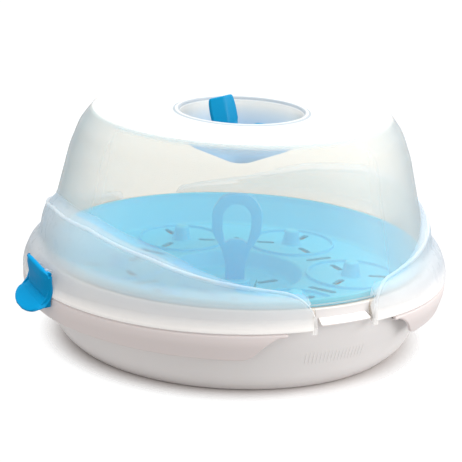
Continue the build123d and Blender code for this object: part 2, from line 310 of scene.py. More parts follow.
class Tree:
    """A small hand for building a node tree."""

    def __init__(self, name):
        self.mat = bpy.data.materials.new(name)
        self.mat.use_nodes = True
        self.nt = self.mat.node_tree
        self.nt.nodes.clear()
        self.out = self.nt.nodes.new("ShaderNodeOutputMaterial")
        self.coord = self.nt.nodes.new("ShaderNodeTexCoord")

    def new(self, kind, **values):
        n = self.nt.nodes.new(kind)
        for k, v in values.items():
            setattr(n, k, v)
        return n

    def link(self, a, b):
        self.nt.links.new(a, b)

    def noise(self, scale, detail=3.0, rough=0.55, stretch=None, distortion=0.0):
        n = self.new("ShaderNodeTexNoise")
        n.inputs["Scale"].default_value = scale
        n.inputs["Detail"].default_value = detail
        n.inputs["Roughness"].default_value = rough
        n.inputs["Distortion"].default_value = distortion
        src = self.coord.outputs["Object"]
        if stretch:
            mp = self.new("ShaderNodeMapping")
            mp.inputs["Scale"].default_value = stretch
            self.link(src, mp.inputs["Vector"])
            src = mp.outputs["Vector"]
        self.link(src, n.inputs["Vector"])
        return n.outputs["Fac"]

    def ramp(self, value, lo, hi, a, b):
        n = self.new("ShaderNodeMapRange")
        n.clamp = True
        for k, v in zip(("From Min", "From Max", "To Min", "To Max"), (lo, hi, a, b)):
            n.inputs[k].default_value = v
        self.link(value, n.inputs["Value"])
        return n.outputs["Result"]

    def math(self, op, a, b):
        n = self.new("ShaderNodeMath", operation=op)
        for i, v in enumerate((a, b)):
            if isinstance(v, (int, float)):
                n.inputs[i].default_value = v
            else:
                self.link(v, n.inputs[i])
        return n.outputs[0]

    def blend(self, fac, a, b):
        n = self.new("ShaderNodeMix", data_type="RGBA")
        self.link(fac, n.inputs["Factor"])
        for k, v in (("A", a), ("B", b)):
            s = [i for i in n.inputs if i.name == k and i.type == "RGBA"][0]
            if isinstance(v, tuple):
                s.default_value = (*v, 1.0)
            else:
                self.link(v, s)
        return [o for o in n.outputs if o.type == "RGBA"][0]

    def height(self):
        s = self.new("ShaderNodeSeparateXYZ")
        self.link(self.coord.outputs["Object"], s.inputs[0])
        return s.outputs["Z"]

    def bump(self, height, strength, distance, onto=None):
        n = self.new("ShaderNodeBump")
        n.inputs["Strength"].default_value = strength
        n.inputs["Distance"].default_value = distance
        self.link(height, n.inputs["Height"])
        if onto is not None:
            self.link(onto, n.inputs["Normal"])
        return n.outputs["Normal"]

    def wear(self, radius=0.0012):
        """1 on worn convex edges, 0 elsewhere, from how pointed the surface is."""
        g = self.new("ShaderNodeNewGeometry")
        return self.ramp(g.outputs["Pointiness"], 0.52, 0.6, 0.0, 1.0)


def moulded(name, colour, tone, rough=(0.3, 0.42), grain=(1400.0, 0.06, 0.00006), shine=0.45, under=0.0, under_colour=None, coat=0.0, lift=0.10, ior=1.49, outer=None):
    """Injection-moulded plastic: fine tool grain, faint flow clouding, edges rubbed a little lighter."""
    t = Tree(name)
    p = t.new("ShaderNodeBsdfPrincipled")
    cloud = t.ramp(t.noise(22.0, 3.0, 0.5), 0.3, 0.72, 0.0, 1.0)
    base = t.blend(cloud, colour, tone)
    fine = t.ramp(t.noise(900.0, 2.0, 0.6), 0.42, 0.75, 0.0, 0.35)
    light = tuple(min(1.0, c * (1.0 + lift) + 0.1 * lift) for c in colour)
    base = t.blend(t.math("MULTIPLY", fine, t.ramp(t.noise(60.0, 2.0), 0.5, 0.75, 0.0, 0.6)), base, light)
    base = t.blend(t.math("MULTIPLY", t.wear(), 0.6), base, light)
    if outer:
        # painted shade: the skirt, outside the bowl below the lid's overhang, is tinted darker and warmer as if in the
        # lid's shadow
        flat = t.new("ShaderNodeVectorMath", operation="MULTIPLY")
        t.link(t.coord.outputs["Object"], flat.inputs[0])
        flat.inputs[1].default_value = (1.0, 1.0, 0.0)
        ln = t.new("ShaderNodeVectorMath", operation="LENGTH")
        t.link(flat.outputs[0], ln.inputs[0])
        z = t.height()
        skirt_shade = t.math("MULTIPLY", t.ramp(ln.outputs["Value"], 129.0 * MM, 129.6 * MM, 0.0, 1.0), t.ramp(z, 45.2 * MM, 46.5 * MM, 1.0, 0.0))
        base = t.blend(skirt_shade, base, tuple(c * k for c, k in zip(colour, outer)))
    t.link(base, p.inputs["Base Color"])
    scuff = t.noise(130.0, 4.0, 0.65, (1.0, 1.0, 0.25))
    t.link(t.ramp(scuff, 0.3, 0.75, rough[0], rough[1]), p.inputs["Roughness"])
    p.inputs["Specular IOR Level"].default_value = shine
    p.inputs["IOR"].default_value = ior
    if under:
        p.inputs["Subsurface Weight"].default_value = under
        p.inputs["Subsurface Scale"].default_value = 0.003
        p.inputs["Subsurface Radius"].default_value = under_colour or (1.0, 1.0, 1.0)
    if coat:
        p.inputs["Coat Weight"].default_value = coat
        p.inputs["Coat Roughness"].default_value = 0.12
    n = t.bump(t.noise(grain[0], 2.0, 0.6), grain[1], grain[2])
    n = t.bump(t.noise(45.0, 2.0, 0.4), 0.03, 0.0006, n)
    t.link(n, p.inputs["Normal"])
    t.link(p.outputs[0], t.out.inputs["Surface"])
    return t.mat


def frosted(name, body, through, haze, edge, rough, power=2.2, veil=0.5, glass=0.35, plate=None, well=None, foot=None, rim=(0.7, 0.72, 0.75), low=None):
    """Milky see-through plastic. haze is how much one face hides head on, edge at a glancing angle;
    veil is the share of the milkiness that glows with light from behind; glass is the gloss on top."""
    t = Tree(name)
    clear = t.new("ShaderNodeBsdfTransparent")
    clear.inputs["Color"].default_value = (*through, 1.0)
    p = t.new("ShaderNodeBsdfPrincipled")
    cloud = t.ramp(t.noise(14.0, 3.0, 0.5, (1.0, 1.0, 0.5)), 0.3, 0.7, 0.0, 1.0)
    tint = t.blend(cloud, body, tuple(c * 0.985 for c in body))
    lw = t.new("ShaderNodeLayerWeight")
    lw.inputs["Blend"].default_value = 0.5
    amount = t.ramp(t.math("POWER", lw.outputs["Facing"], power), 0.0, 1.0, haze, edge)
    amount = t.math("MULTIPLY", amount, t.ramp(cloud, 0.0, 1.0, 0.98, 1.02))
    # painted shade: at a glancing look the tint turns darker, so the outline looks shaded
    z = t.height()
    outline_shade = t.ramp(lw.outputs["Facing"], 0.35, 1.0, 0.0, 1.0)
    flat = t.new("ShaderNodeVectorMath", operation="MULTIPLY")
    t.link(t.coord.outputs["Object"], flat.inputs[0])
    flat.inputs[1].default_value = (1.0, 1.0, 0.0)
    ln = t.new("ShaderNodeVectorMath", operation="LENGTH")
    t.link(flat.outputs[0], ln.inputs[0])
    if plate:
        on_plate = t.math("MULTIPLY", t.ramp(z, plate[0] * MM, plate[1] * MM, 0.0, 1.0), t.ramp(ln.outputs["Value"], 96.4 * MM, 98.6 * MM, 1.0, 0.0))
        outline_shade = t.math("MULTIPLY", outline_shade, t.math("SUBTRACT", 1.0, on_plate))
    tint = t.blend(outline_shade, tint, tuple(b * r for b, r in zip(body, rim)))
    if low:
        # painted light: the lower edge is tinted whiter, less so at a glancing look, so it looks lit
        tint = t.blend(t.math("MULTIPLY", t.ramp(z, low[0] * MM, low[1] * MM, 1.0, 0.0), t.ramp(outline_shade, 0.5, 0.9, 1.0, 0.3)), tint, low[2])
    if well:
        # painted glow: the well's lower wall is tinted blue and made milkier, standing in for the tongs seen through
        # the frosted plastic
        r_in, z_lo, z_hi, colour, most = well
        near = t.ramp(ln.outputs["Value"], (r_in - 2.0) * MM, (r_in + 1.0) * MM, 1.0, 0.0)
        deep = t.ramp(z, z_lo * MM, z_hi * MM, 1.0, 0.0)
        tint = t.blend(t.math("MULTIPLY", near, deep), tint, colour)
        amount = t.math("MAXIMUM", amount, t.math("MULTIPLY", near, most))
        # painted shade: thin grey rings on the plate just inside and just outside the well's rim
        inner = t.math("MULTIPLY", t.ramp(ln.outputs["Value"], 41.5 * MM, 42.1 * MM, 1.0, 0.0), t.ramp(z, 148.9 * MM, 149.6 * MM, 0.0, 1.0))
        outer = t.math("MULTIPLY", t.ramp(ln.outputs["Value"], 43.3 * MM, 43.8 * MM, 0.0, 1.0), t.ramp(ln.outputs["Value"], 44.8 * MM, 45.3 * MM, 1.0, 0.0))
        outer = t.math("MULTIPLY", outer, t.ramp(z, 149.0 * MM, 149.6 * MM, 0.0, 1.0))
        well_rim_shade = t.math("MAXIMUM", inner, outer)
    if plate:
        amount = t.math("MAXIMUM", amount, t.math("MULTIPLY", on_plate, plate[2]))
    # the grey rings are painted shade at the well's rim
    if well and plate:
        tint = t.blend(well_rim_shade, tint, (0.60, 0.62, 0.65))
    if foot:
        z0, z1, most = foot
        amount = t.math("MAXIMUM", amount, t.ramp(z, z0 * MM, z1 * MM, most, 0.0))
    t.link(tint, p.inputs["Base Color"])
    t.link(t.ramp(t.noise(150.0, 3.0, 0.6), 0.3, 0.75, rough[0], rough[1]), p.inputs["Roughness"])
    p.inputs["IOR"].default_value = 1.49
    p.inputs["Specular IOR Level"].default_value = glass
    n = t.bump(t.noise(1100.0, 2.0, 0.6), 0.05, 0.00005)
    t.link(n, p.inputs["Normal"])
    glow = t.new("ShaderNodeBsdfTranslucent")
    t.link(tint, glow.inputs["Color"])
    milk = t.new("ShaderNodeMixShader")
    milk.inputs["Fac"].default_value = veil
    # the lower edge is also less translucent and more diffuse, part of the same painted light
    if low:
        t.link(t.ramp(z, low[0] * MM, low[1] * MM, 0.15, veil), milk.inputs["Fac"])
    t.link(p.outputs[0], milk.inputs[1])
    t.link(glow.outputs[0], milk.inputs[2])
    mix = t.new("ShaderNodeMixShader")
    t.link(amount, mix.inputs["Fac"])
    t.link(clear.outputs[0], mix.inputs[1])
    t.link(milk.outputs[0], mix.inputs[2])
    t.link(mix.outputs[0], t.out.inputs["Surface"])
    return t.mat


# the last tuple of base_white tints the skirt darker and warmer: painted shade under the lid's overhang
WHITE = moulded("base_white", (0.76, 0.735, 0.73), (0.74, 0.715, 0.71), (0.30, 0.42), (1500.0, 0.08, 0.00006), 0.4, 0.12, (1.0, 0.75, 0.6), 0.0, 0.06, 1.49, (0.93, 0.875, 0.87))
BLUE = moulded("latch_blue", (0.0, 0.255, 0.53), (0.0, 0.235, 0.49), (0.42, 0.54), (1200.0, 0.08, 0.00006), 0.25, 0.0, None, 0.0, 0.12, 1.2)
TONGS_BLUE = moulded("tongs_blue", (0.0, 0.225, 0.42), (0.0, 0.205, 0.39), (0.26, 0.36), (1200.0, 0.05, 0.00005), 0.3, 0.0, None, 0.08, 0.14, 1.2)
RACK = moulded("rack_blue", (0.07, 0.66, 0.97), (0.06, 0.64, 0.95), (0.36, 0.48), (1300.0, 0.08, 0.00006), 0.25, 0.0, None, 0.0, 0.04)
HANDLE = moulded("handle_blue", (0.03, 0.58, 0.95), (0.02, 0.56, 0.93), (0.32, 0.44), (1300.0, 0.08, 0.00006), 0.25, 0.0, None, 0.0, 0.04)
# each frosted finish below has a tuple that darkens its outline at a glancing look: painted shade
CLEAR = frosted("clear_dome", (0.97, 0.94, 0.905), (0.998, 0.977, 0.945), 0.18, 0.93, (0.16, 0.26), 2.4, 0.55, 0.25,
                # the well tuple tints the well's lower wall blue: painted glow of the tongs inside
                (145.5, 149.0, 0.95), (44.0, 128.0, 146.0, (0.34, 0.56, 0.78), 0.75), None, (0.50, 0.53, 0.56))
# the flange and ridge finishes whiten their lower edge with their last tuple: painted light
FLANGE = frosted("clear_flange", (0.90, 0.905, 0.91), (0.97, 0.985, 0.995), 0.30, 0.92, (0.24, 0.36), 2.0, 0.5, 0.25,
                 None, None, (48.5, 57.5, 0.86), (0.58, 0.63, 0.69), (48.5, 57.5, (0.99, 0.97, 0.95)))
# a milkier, brighter copy of the flange finish for the wing's bead and ends: painted highlight
RIDGE_HIGHLIGHT = frosted("clear_ridge_highlight", (0.90, 0.92, 0.94), (0.97, 0.985, 0.995), 0.50, 0.85, (0.24, 0.34), 2.0, 0.5, 0.3,
                None, None, None, (0.86, 0.88, 0.91), (50.0, 58.0, (0.94, 0.925, 0.91)))

# ======================================================================
# base bowl with its side skirts, front and back tabs and grip ribs
# ======================================================================

SHIFT = 8.0
bowl_outer = [(103.0, 0.0), (109.0, 0.0, 5.0), (118.0, 8.5, 22.0), (125.5, 31.0, 60.0), (128.2, 48.0, 60.0), (128.5, 57.8, 0.7)]
bowl_inner = [(126.0, 57.8, 0.7), (125.6, 48.0, 60.0), (122.9, 31.6, 60.0), (115.6, 9.6, 19.0), (111.5, 4.0, 9.0), (0.0, 4.0)]
bowl = lathe("bowl", path([(0.0, 1.5), (96.0, 1.5, 0.6), (97.0, 0.0, 0.5), (103.0, 0.0, 0.5)] + bowl_outer[1:] + bowl_inner, True), 288)
outer_line = path(bowl_outer, False, 3.0, 3.0)


def bowl_r(z):
    return float(np.interp(z, outer_line[:, 1], outer_line[:, 0]))


def along(r, psi):
    """Distance from the shifted axis, in direction psi, to the circle of radius r about the middle."""
    c, s = math.cos(psi), math.sin(psi)
    return -SHIFT * c + math.sqrt(max(r * r - (SHIFT * s) ** 2, 0.0))


def place(rho, z, psi):
    return (SHIFT + rho * math.cos(psi), rho * math.sin(psi), z)


skirt_line = path([(133.0, 45.4), (133.0, 39.0, 20.0), (128.4, 24.0)], False, 2.0, 1.0)
side_low = path([(0.0, 30.0), (50.0, 30.0, 200.0), (104.0, 28.6, 30.0), (119.0, 28.0, 5.0), (126.2, 39.6, 30.0), (129.0, 44.4, 6.0), (131.0, 47.0)], False, 3.0, 1.0)


def skirt_rho(z):
    return float(np.interp(z, skirt_line[::-1, 1], skirt_line[::-1, 0]))


def skirt_bottom(psi):
    z = 30.0
    for _ in range(40):
        y = abs(skirt_rho(z) * math.sin(psi))
        z = 0.5 * z + 0.5 * float(np.interp(y, side_low[:, 0], side_low[:, 1]))
    return min(z, 42.7)


def skirt_loop(psi, inset=0.0):
    zb = skirt_bottom(psi) + inset
    th = 2.4
    o = []
    top = 45.4 - inset
    r0 = along(bowl_r(45.0) - 1.0, psi)
    o.append((r0, top))
    for f in (0.25, 0.5, 0.75, 1.0):
        o.append((r0 + (133.0 - 1.3 - inset - r0) * f, top))
    for a in (70, 45, 20, 0):
        o.append((133.0 - 1.3 - inset + 1.3 * math.cos(math.radians(a)), top - 1.3 + 1.3 * math.sin(math.radians(a))))
    zs = np.linspace(top - 1.3, zb + 1.2, 12)[1:]
    for z in zs:
        o.append((skirt_rho(z) - inset, z))
    rb = skirt_rho(zb + 1.2) - inset
    for a in (0, -30, -60, -90, -120, -150, -180):
        o.append((rb - 1.2 + 1.2 * math.cos(math.radians(a)), zb + 1.2 + 1.2 * math.sin(math.radians(a))))
    zi = max(43.0, zb + 1.5)
    for z in np.linspace(zb + 1.2, zi, 10)[1:]:
        o.append((min(skirt_rho(z), 133.0) - inset - th, z))
    r1 = along(bowl_r(43.0) - 1.0, psi)
    for f in (0.33, 0.66, 1.0):
        o.append((max(r1, 0) + (130.6 - inset - r1) * (1 - f), zi))
    return [place(r, z, psi) for r, z in o]


psi_end = math.asin(129.2 / 133.0)
psis = np.linspace(-psi_end, psi_end, 190)
step = 1.0 / 133.0
loops = []
for k, a in enumerate((psis[0] - 1.0 * step, psis[0] - 0.8 * step, psis[0] - 0.4 * step)):
    loops.append(skirt_loop(a, (1.0, 0.4, 0.08)[k]))
loops += [skirt_loop(a) for a in psis]
for k, a in enumerate((psis[-1] + 0.4 * step, psis[-1] + 0.8 * step, psis[-1] + 1.0 * step)):
    loops.append(skirt_loop(a, (0.08, 0.4, 1.0)[k]))
skirt = tube("skirt", loops)
# the rib that the latch's hook holds
catch_prof = path([(131.4, 43.0), (133.6, 43.4, 0.3), (133.85, 44.0, 0.3), (133.85, 45.0, 0.3), (133.4, 45.35, 0.3), (131.4, 45.35)], True)
catch = tube("catch", [[place(r, z, a) for r, z in catch_prof] for a in np.linspace(-8.3 / 133.7, 8.3 / 133.7, 12)])
skirt = joined(skirt, catch)
skirt_l = mirrored(skirt, "skirt_l")
bowl = joined(bowl, skirt)
bowl = joined(bowl, skirt_l)

# tab between the wings: a shelf that stands off the bowl under the lid's rim
tab_prof = path([(127.2, 49.4), (129.6, 49.2, 2.0), (133.3, 47.95, 0.4), (133.9, 49.3, 0.5), (128.7, 51.95, 1.2), (127.2, 52.05)], True, 12.0, 3.0)


def tab_loops(side):
    half = 17.55
    r = 133.9
    out = []
    a_end = math.asin(half / r)
    for a in list(-a_end + np.array([0.0, 0.1, 0.25, 0.5]) / r) + list(np.linspace(-a_end + 1.2 / r, a_end - 1.2 / r, 40)) + list(a_end - np.array([0.5, 0.25, 0.1, 0.0]) / r):
        edge = (a_end - abs(a)) * r
        k = 1.0
        if edge < 0.5:
            k = math.sqrt(max(1 - ((0.5 - edge) / 0.5) ** 2, 0.04))
        loop = []
        for rr, z in tab_prof:
            rr2 = 127.2 + (rr - 127.2) * (1 - 0.06 * (1 - k)) if rr > 127.3 else rr
            z2 = 50.0 + (z - 50.0) * (0.7 + 0.3 * k)
            loop.append((rr2 * math.sin(a), side * rr2 * math.cos(a), z2))
        out.append(loop)
    return out


for side, nm in ((-1, "tab_f"), (1, "tab_b")):
    bowl = joined(bowl, tube(nm, tab_loops(side)))

# short grip ribs moulded on the bowl, front and back
rib_out = []
for side in (-1, 1):
    for k in range(-8, 9):
        a = k * math.radians(1.2)
        pts = []
        for z in np.linspace(19.5, 29.0, 8):
            r = bowl_r(z)
            f = max(math.sin(math.pi * (z - 19.5) / 9.5), 0.0) ** 0.5
            w = 0.5 * max(f, 0.15)
            h = 0.22 * f
            loop = []
            for ang in (180, 150, 120, 90, 60, 30, 0, -60, -120):
                du = w * math.cos(math.radians(ang))
                dr = h * math.sin(math.radians(ang)) if ang >= 0 else -0.7
                aa = a + du / r
                loop.append(((r + dr) * math.sin(aa), side * (r + dr) * math.cos(aa), z))
            pts.append(loop)
        rib_out.append(tube(f"rib{side}{k}", pts))
bpy.ops.object.select_all(action="DESELECT")
for o in rib_out:
    o.select_set(True)
bpy.context.view_layer.objects.active = rib_out[0]
bpy.ops.object.join()
bowl = joined(bowl, rib_out[0])
smooth(bowl, 34.0, 0.004)
finish_piece(bowl, "base_bowl_moulding", "base", ["base_bowl"], WHITE)

# ======================================================================
# lid: dome with the tongs well, and a wing on each side
# ======================================================================

WALL = 2.0
dome_line = [
    (0.0, 118.2), (8.0, 118.8, 10.0), (34.8, 130.4, 7.0), (39.6, 141.0, 30.0), (40.9, 151.1, 0.8), (43.4, 151.1, 1.2), (44.6, 150.4, 1.5),
    (88.0, 150.7, 20.0), (96.5, 152.6, 4.0), (105.2, 140.9, 24.0), (111.2, 125.2, 50.0), (126.4, 61.6, 1.0), (126.8, 60.3),
]
dome_under = [
    (0.0, 116.2), (7.7, 116.8, 12.0), (36.2, 129.2, 9.0), (41.5, 140.6, 28.0), (43.0, 148.5, 1.5),
    (88.3, 148.7, 22.0), (95.8, 150.2, 2.4), (103.5, 139.9, 22.0), (109.3, 124.6, 48.0), (124.2, 62.0, 2.0), (125.2, 58.0),
]
lip = [(129.0, 60.2, 0.5), (129.0, 58.0, 0.4)]
dome = lathe("dome", path(dome_line + lip + list(reversed(dome_under)), True, 6.0), 320)
dome_curve = path([(96.5, 152.6), (105.2, 140.9, 24.0), (111.2, 125.2, 50.0), (126.4, 61.6, 1.0), (126.8, 60.3)], False, 2.0, 2.0)


def dome_r(z):
    return float(np.interp(z, dome_curve[::-1, 1], dome_curve[::-1, 0]))


wing_wall = path([(133.2, 46.0), (133.0, 52.5, 20.0), (129.0, 62.4, 18.0), (122.7, 69.0, 4.0), (120.8, 80.0, 40.0), (114.5, 97.0)], False, 2.0, 1.0)
wing_inner = path(beside([(133.2, 46.0), (133.0, 52.5, 20.0), (129.0, 62.4, 18.0), (122.7, 69.0, 4.0), (120.8, 80.0, 40.0), (114.5, 97.0)], WALL), False, 2.0, 1.0)
top_line = path([(0.0, 92.4), (24.0, 92.4, 60.0), (72.0, 84.5, 80.0), (112.5, 72.0, 50.0), (124.0, 67.0, 9.0), (130.4, 59.4, 8.0), (133.1, 50.0, 6.0), (133.6, 40.0)], False, 2.0, 1.0)


def wall_rho(z, inner=False):
    w = wing_inner if inner else wing_wall
    return float(np.interp(z, w[:, 1], w[:, 0]))


def wing_top(psi):
    s = abs(math.sin(psi))
    lo, hi = 46.5, 92.0
    for _ in range(50):
        mid = (lo + hi) / 2
        y = wall_rho(mid) * s
        zt = float(np.interp(min(y, 133.59), top_line[:, 0], top_line[:, 1]))
        if mid < zt:
            lo = mid
        else:
            hi = mid
    z = (lo + hi) / 2
    x = SHIFT + wall_rho(z) * math.cos(psi)
    if x < CORNER_X:
        # the last stretch before the gap falls in a quarter round
        f = min(1.0, (CORNER_X - x) / (CORNER_X - GAP + 0.8))
        z = z - (z - 48.5) * (1 - math.sqrt(max(1 - f ** 2.4, 0.0)))
    return z


CORNER_X = 40.0
GAP = 20.2          # half the opening between the wings
BEAD = 1.3


def wing_loop(psi, inset=0.0, solid=0.0):
    zt = wing_top(psi) - inset
    rt = wall_rho(zt - BEAD) - inset
    o = []
    zb = 46.0
    for a in (-150, -110, -70, -35):
        o.append((wall_rho(46.6) - inset - 0.6 + 0.6 * math.cos(math.radians(a)), zb + 0.6 + 0.6 * math.sin(math.radians(a))))
    for z in np.linspace(46.6, zt - BEAD - 1.0, 34):
        o.append((wall_rho(z) - inset, z))
    # rounded bead standing a little proud along the top edge
    slope = math.radians(45.0)
    cx, cz = rt - BEAD + 0.35, zt - BEAD
    for a in (-35, -10, 15, 40, 65, 90, 110, 128):
        o.append((cx + BEAD * math.cos(math.radians(a)), cz + BEAD * math.sin(math.radians(a))))
    # the sloping ledge up to the dome
    px, pz = o[-1]
    zj = pz
    for _ in range(30):
        rd = along(dome_r(zj), psi)
        zj = pz + max(px - rd, 0.0) * math.tan(slope)
    rd = along(dome_r(zj), psi)
    fl = min(1.6, max(px - rd, 0.2) * 0.4)
    for f in (0.2, 0.5, 0.8):
        o.append((px + (rd + fl - px) * f, pz + (zj - fl - pz) * f))
    for f in (0.0, 0.25, 0.5, 0.75, 1.0):
        u = (1 - f)
        o.append((rd + fl * u * u, zj - fl * u * u + fl * 0.9 * f * f))
    zi = zj + fl * 0.9
    o.append((along(dome_r(zi) - 1.0, psi), zi))
    # back under the ledge and down inside the wall
    low = max(zj - 3.0, 59.6)
    back = along(max(dome_r(low) - 1.0, 125.0 if low < 61 else 0.0), psi)
    o.append((back, low))
    inner = []
    zt_in = max(zt - WALL - 0.4, 50.0)
    rin = wall_rho(zt_in, True) - inset
    for f in (0.15, 0.5, 0.85):
        inner.append((along(dome_r(low), psi) * (1 - f) + rin * f, low * (1 - f) + zt_in * f))
    for z in np.linspace(zt_in, 46.6, 30):
        inner.append((wall_rho(z, True) - inset, z))
    if solid > 0:
        full = []
        n = len(inner)
        for k, (r, z) in enumerate(inner):
            zz = low + (46.6 - low) * k / (n - 1)
            full.append((along(129.05 if zz < 60.0 else dome_r(zz) + 0.3, psi), zz))
        inner = [(a[0] * (1 - solid) + b[0] * solid, a[1] * (1 - solid) + b[1] * solid) for a, b in zip(inner, full)]
    o += inner
    return [place(r, z, psi) for r, z in o]


# the wing's last column stands where x is GAP


def psi_at_x(x, rho=133.0):
    return math.acos((x - SHIFT) / rho)


stations = []
edge = 2.0
for t, in zip(np.linspace(0, 1, 7)):
    ang = t * math.pi / 2
    stations.append((GAP + edge * (1 - math.sin(ang)), edge * (1 - math.cos(ang)) * 0.8, 1.0))
stations = sorted(stations)
cols = [(psi_at_x(x), i, s) for x, i, s in stations]
cols.append((psi_at_x(GAP + edge + 0.5), 0.0, 1.0))
cols.append((psi_at_x(GAP + edge + 0.8), 0.0, 0.0))
for x in np.arange(GAP + edge + 2.0, 46.0, 1.2):
    cols.append((psi_at_x(x), 0.0, 0.0))
last = cols[-1][0]
cols += [(p, 0.0, 0.0) for p in np.linspace(last, 0.0, 96)[1:]]
both = [(-p, i, s) for p, i, s in cols] + [(p, i, s) for p, i, s in reversed(cols[:-1])]
wing = tube("wing", [wing_loop(*c) for c in both])
# a small foot under each end of the wing
foot_prof = path([(131.3, 43.4, 0.4), (133.1, 43.4, 0.4), (133.15, 47.6), (131.3, 47.6)], True, 12.0, 2.0)
foot_end = tube("foot_end", [[place(r, z, a) for r, z in foot_prof] for a in np.linspace(psi_at_x(GAP + 0.25), psi_at_x(GAP + 3.4), 8)])
foot_back = mirrored(foot_end, "foot_back", "y")
wing = joined(wing, foot_end)
wing = joined(wing, foot_back)

# ears that carry the latch's pin
lug_side = path([(130.0, 57.2), (139.4, 57.8, 0.6), (142.72, 58.55, 2.02), (142.72, 62.6, 2.02), (139.9, 62.6, 1.0), (136.2, 60.4), (130.0, 60.4)], True)
core = lathe("core", path([(0.0, 30.0), (131.8, 30.0), (131.8, 52.2), (127.8, 61.9), (121.3, 68.5), (0.0, 68.5)], True), 240, (SHIFT, 0.0))
for y0 in (-10.2, 7.2):
    ear = prism("ear", lug_side, y0, y0 + 3.0, "y")
    rounded_edges(ear, 0.35, 3, 40)
    ear = joined(ear, core, "DIFFERENCE", True)
    wing = joined(wing, ear)
drop(core)
pin_hole = prism("hole", [(140.7 + 1.26 * math.cos(a), 60.6 + 1.26 * math.sin(a)) for a in np.linspace(0, 2 * math.pi, 33)[:-1]], -20, 20, "y")
wing = joined(wing, pin_hole, "DIFFERENCE")
wing_l = mirrored(wing, "wing_l")
dome = joined(dome, wing)
dome = joined(dome, wing_l)
smooth(dome, 36.0, 0.004)
finish_piece(dome, "lid_moulding", "lid", ["lid"], CLEAR)
dome.data.materials.append(FLANGE)
dome.data.materials.append(RIDGE_HIGHLIGHT)
crest_psi = np.linspace(0.0, math.pi / 2, 260)
crest_z = np.array([wing_top(a) for a in crest_psi])
# the wings and ears take the milkier look
for p in dome.data.polygons:
    c = p.center / MM
    r = math.hypot(c.x, c.y)
    out_of_dome = r - (dome_r(c.z) if c.z > 60.3 else 129.0)
    if abs(c.x) > GAP - 0.3 and c.z < 100 and out_of_dome > 0.25:
        p.material_index = 1
        psi = math.atan2(abs(c.y), abs(c.x) - SHIFT)
        rho = math.hypot(abs(c.x) - SHIFT, c.y)
        zt = float(np.interp(psi, crest_psi, crest_z))
        mid_r, mid_z = wall_rho(zt - BEAD) - BEAD + 0.35, zt - BEAD
        # faces along the bead and at the wing ends take the ridge finish: painted highlight
        if abs(c.x) < GAP + 3.0 or math.hypot(rho - mid_r, c.z - mid_z) < BEAD * 1.08:
            p.material_index = 2

# ======================================================================
# rack tray
# ======================================================================

rack_top = [
    (0.0, 30.2), (10.0, 30.2), (40.0, 30.2, 4.0), (45.0, 41.5, 2.5), (108.5, 41.5, 5.0),
    (119.0, 58.5, 10.0), (119.9, 61.8, 0.8), (122.9, 61.8, 0.6), (122.9, 56.8, 0.3),
]
rack_low = [(120.4, 56.8, 0.3), (109.6, 39.5, 7.0), (46.6, 39.5, 4.0), (41.6, 28.2, 2.5), (0.0, 28.2)]
rack = lathe("rack", path(rack_top + rack_low, True), 240)
ring = lathe("ring", path([(28.6, 40.4), (30.6, 40.4), (30.2, 43.3, 0.5), (29.0, 43.3, 0.5)], True), 72)
peg = lathe("peg", path([(0.0, 40.4), (7.2, 40.4), (6.2, 42.6, 1.2), (4.6, 51.5, 2.0), (0.0, 51.5)], True), 40)
leg = lathe("leg", path([(0.0, 4.1), (3.8, 4.1, 0.6), (5.6, 40.4), (0.0, 40.4)], True), 32)


def stadium(length, width, k=10):
    r = width / 2
    h = length / 2 - r
    pts = []
    for j in range(k + 1):
        a = -math.pi / 2 + math.pi * j / k
        pts.append((h + r * math.cos(a), r * math.sin(a)))
    for j in range(k + 1):
        a = math.pi / 2 + math.pi * j / k
        pts.append((-h + r * math.cos(a), r * math.sin(a)))
    return pts


def slot_solid(length, width, radial, deg, z0, z1, cx=0.0, cy=0.0):
    s = prism("slot", stadium(length, width), z0, z1, "z")
    m = Matrix.Translation((cx * MM, cy * MM, 0)) @ Matrix.Rotation(math.radians(deg), 4, "Z") @ Matrix.Translation((radial * MM, 0, 0))
    return moved(s, m)


def gathered(objs, name):
    bpy.ops.object.select_all(action="DESELECT")
    for o in objs:
        o.select_set(True)
    bpy.context.view_layer.objects.active = objs[0]
    bpy.ops.object.join()
    objs[0].name = name
    return objs[0]


adds, cuts = [], []
for k in range(6):
    th = 60.0 * k
    cx, cy = 77.5 * math.cos(math.radians(th)), 77.5 * math.sin(math.radians(th))
    adds.append(moved(copied(ring, "a"), Matrix.Translation((cx * MM, cy * MM, 0))))
    adds.append(moved(copied(peg, "a"), Matrix.Translation((cx * MM, cy * MM, 0))))
    for j in range(3):
        cuts.append(slot_solid(13.0, 4.4, 18.0, th + 120.0 * j, 36.0, 46.0, cx, cy))
    mid = math.radians(th + 30.0)
    if k % 2 == 0:
        adds.append(moved(copied(leg, "a"), Matrix.Translation((99.0 * math.cos(mid) * MM, 99.0 * math.sin(mid) * MM, 0))))
        cuts.append(slot_solid(16.0, 4.5, 26.0, th + 30.0, 25.0, 32.0))
    cuts.append(slot_solid(20.0, 4.5, 66.0, th + 30.0, 36.0, 46.0))
for o in (ring, peg, leg):
    drop(o)
adds.append(lathe("hub", path([(0.0, 28.4), (10.7, 28.4), (10.2, 36.0, 0.9), (0.0, 36.0)], True), 48))
rack = joined(rack, gathered(adds, "adds"))
rack = joined(rack, gathered(cuts, "cuts"), "DIFFERENCE")
rack = joined(rack, block("socket", -6.55, 6.55, -2.55, 2.55, 31.0, 40.0), "DIFFERENCE")
TURN = Matrix.Rotation(math.radians(-31.0), 4, "Z")
moved(rack, TURN)
smooth(rack, 34.0, 0.004)
finish_piece(rack, "rack_tray_moulding", "rack", ["rack_tray"], RACK)

